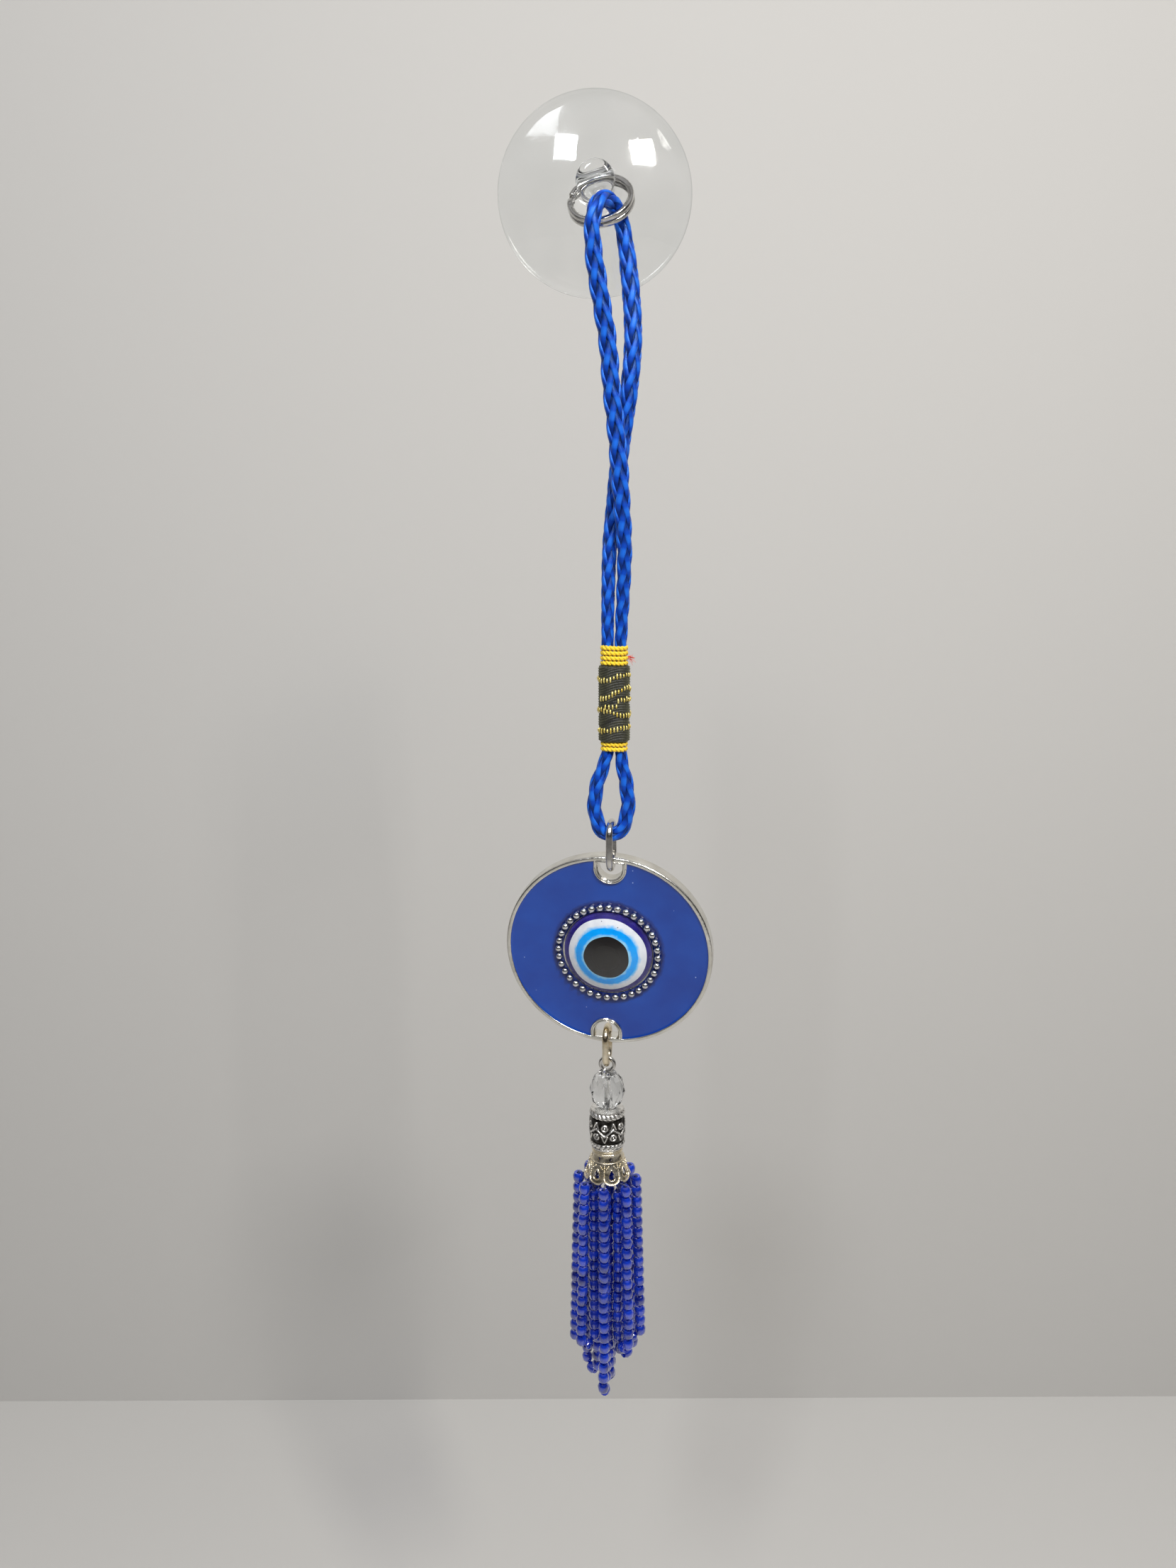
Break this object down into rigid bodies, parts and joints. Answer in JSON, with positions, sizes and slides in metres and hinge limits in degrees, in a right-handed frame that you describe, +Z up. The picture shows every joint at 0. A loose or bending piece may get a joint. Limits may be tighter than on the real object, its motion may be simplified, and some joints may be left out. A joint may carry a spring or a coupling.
{
  "type": "evil eye hanging ornament",
  "caption": "Hanging evil eye ornament: suction cup, split ring, bound cord loop, enamelled eye pendant, beaded eye pin and seed-bead tassel.",
  "frame": {"origin": "centre of the suction cup's lip, on the plane of the wall that it sticks to", "axes": "+Y into the wall, square to it; +Z up, along the hanging length; +X to the right as someone facing the wall sees it"},
  "size_m": [0.0403, 0.0181, 0.2597],
  "materials": {
    "clear_pvc": "clear flexible PVC, glossy",
    "ring_steel": "nickel-plated steel wire, polished",
    "cord_satin": "satin polyester braid",
    "yellow_thread": "twisted polyester thread",
    "brocade": "black woven tape with gold metallic floats",
    "red_thread": "frayed polyester thread",
    "nickel_cast": "nickel-plated zinc casting, polished",
    "blue_enamel": "filled soft enamel, satin gloss",
    "eye_dark_blue": "tinted resin",
    "eye_white_resin": "opaque resin",
    "iris_deep_blue": "opaque resin",
    "iris_pale_blue": "opaque resin",
    "pupil_black": "opaque resin",
    "clear_resin": "clear domed resin coat, gloss",
    "clear_glass": "clear faceted glass",
    "antique_silver": "antiqued silver plating, black in the recesses",
    "champagne_metal": "pale gold plating",
    "cobalt_glass": "transparent cobalt glass",
    "tassel_thread": "waxed polyester thread"
  },
  "bodies": {
    "cup": {"suction_cup": "clear_pvc"},
    "ring": {"split_ring": "ring_steel"},
    "strap": {"braided_cord": "cord_satin", "yellow_wrap_top": "yellow_thread", "brocade_sleeve": "brocade", "yellow_wrap_bottom": "yellow_thread", "red_thread_tail": "red_thread"},
    "top_link": {"upper_jump_ring": "ring_steel"},
    "pendant": {"pendant_casting": "nickel_cast", "enamel_fill": "blue_enamel", "beaded_bezel": "nickel_cast", "eye_base": "eye_dark_blue", "eye_white": "eye_white_resin", "iris_deep": "iris_deep_blue", "iris_pale": "iris_pale_blue", "eye_pupil": "pupil_black", "eye_coat": "clear_resin"},
    "bottom_link": {"lower_jump_ring": "ring_steel"},
    "pin": {"eye_pin": "ring_steel", "tassel_threads": "tassel_thread"},
    "crystal": {"clear_bead": "clear_glass"},
    "barrel": {"barrel_bead": "antique_silver"},
    "cone": {"cone_cap": "champagne_metal"},
    "loop_1": {"bead_loop_1": "cobalt_glass", "loop_thread_1": "tassel_thread"},
    "loop_2": {"bead_loop_2": "cobalt_glass", "loop_thread_2": "tassel_thread"},
    "loop_3": {"bead_loop_3": "cobalt_glass", "loop_thread_3": "tassel_thread"},
    "loop_4": {"bead_loop_4": "cobalt_glass", "loop_thread_4": "tassel_thread"},
    "loop_5": {"bead_loop_5": "cobalt_glass", "loop_thread_5": "tassel_thread"},
    "loop_6": {"bead_loop_6": "cobalt_glass", "loop_thread_6": "tassel_thread"},
    "loop_7": {"bead_loop_7": "cobalt_glass", "loop_thread_7": "tassel_thread"},
    "loop_8": {"bead_loop_8": "cobalt_glass", "loop_thread_8": "tassel_thread"}
  },
  "joints": [
    {"name": "ring_tilt", "type": "hinge", "parent": "cup", "child": "ring", "pos_m": [0, -0.0072, 0], "axis": [0.9613, 0, 0.2756], "range_deg": [-40, 10]},
    {"name": "strap_swing", "type": "hinge", "parent": "ring", "child": "strap", "pos_m": [0.0021, -0.0136, -0.00733], "axis": [0.9613, 0, 0.2756], "range_deg": [-20, 12]},
    {"name": "top_link_swing", "type": "hinge", "parent": "strap", "child": "top_link", "pos_m": [0.00265, -0.015, -0.115], "axis": [0.9833, -0.1822, 0], "range_deg": [-40, 40]},
    {"name": "pendant_swing", "type": "hinge", "parent": "top_link", "child": "pendant", "pos_m": [0.00265, -0.015, -0.119], "axis": [0.9823, -0.1821, -0.0436], "range_deg": [-40, 40]},
    {"name": "bottom_link_swing", "type": "hinge", "parent": "pendant", "child": "bottom_link", "pos_m": [0.00196, -0.00916, -0.1589], "axis": [0.9833, -0.1822, 0], "range_deg": [-40, 40]},
    {"name": "pin_sway", "type": "hinge", "parent": "bottom_link", "child": "pin", "pos_m": [0.00196, -0.00916, -0.16455], "axis": [0.1822, 0.9833, 0], "range_deg": [-35, 35]},
    {"name": "crystal_spin", "type": "hinge", "parent": "pin", "child": "crystal", "pos_m": [0.00196, -0.00916, -0.17455], "axis": [0, 0, 1], "continuous": true},
    {"name": "barrel_spin", "type": "hinge", "parent": "pin", "child": "barrel", "pos_m": [0.00196, -0.00916, -0.17455], "axis": [0, 0, 1], "continuous": true},
    {"name": "cone_spin", "type": "hinge", "parent": "pin", "child": "cone", "pos_m": [0.00196, -0.00916, -0.17455], "axis": [0, 0, 1], "continuous": true},
    {"name": "loop_1_flare", "type": "hinge", "parent": "pin", "child": "loop_1", "pos_m": [-0.00121, -0.0116, -0.1895], "axis": [-0.6088, 0.7934, 0], "range_deg": [0, 12]},
    {"name": "loop_2_flare", "type": "hinge", "parent": "pin", "child": "loop_2", "pos_m": [0.00144, -0.01313, -0.1895], "axis": [-0.9914, 0.1305, 0], "range_deg": [0, 12]},
    {"name": "loop_3_flare", "type": "hinge", "parent": "pin", "child": "loop_3", "pos_m": [0.00439, -0.01234, -0.1895], "axis": [-0.7934, -0.6088, 0], "range_deg": [0, 12]},
    {"name": "loop_4_flare", "type": "hinge", "parent": "pin", "child": "loop_4", "pos_m": [0.00593, -0.00968, -0.1895], "axis": [-0.1305, -0.9914, 0], "range_deg": [0, 12]},
    {"name": "loop_5_flare", "type": "hinge", "parent": "pin", "child": "loop_5", "pos_m": [0.00513, -0.00673, -0.1895], "axis": [0.6088, -0.7934, 0], "range_deg": [0, 12]},
    {"name": "loop_6_flare", "type": "hinge", "parent": "pin", "child": "loop_6", "pos_m": [0.00248, -0.0052, -0.1895], "axis": [0.9914, -0.1305, 0], "range_deg": [0, 12]},
    {"name": "loop_7_flare", "type": "hinge", "parent": "pin", "child": "loop_7", "pos_m": [-0.00047, -0.00599, -0.1895], "axis": [0.7934, 0.6088, 0], "range_deg": [0, 12]},
    {"name": "loop_8_flare", "type": "hinge", "parent": "pin", "child": "loop_8", "pos_m": [-0.00201, -0.00864, -0.1895], "axis": [0.1305, 0.9914, 0], "range_deg": [0, 12]}
  ]
}
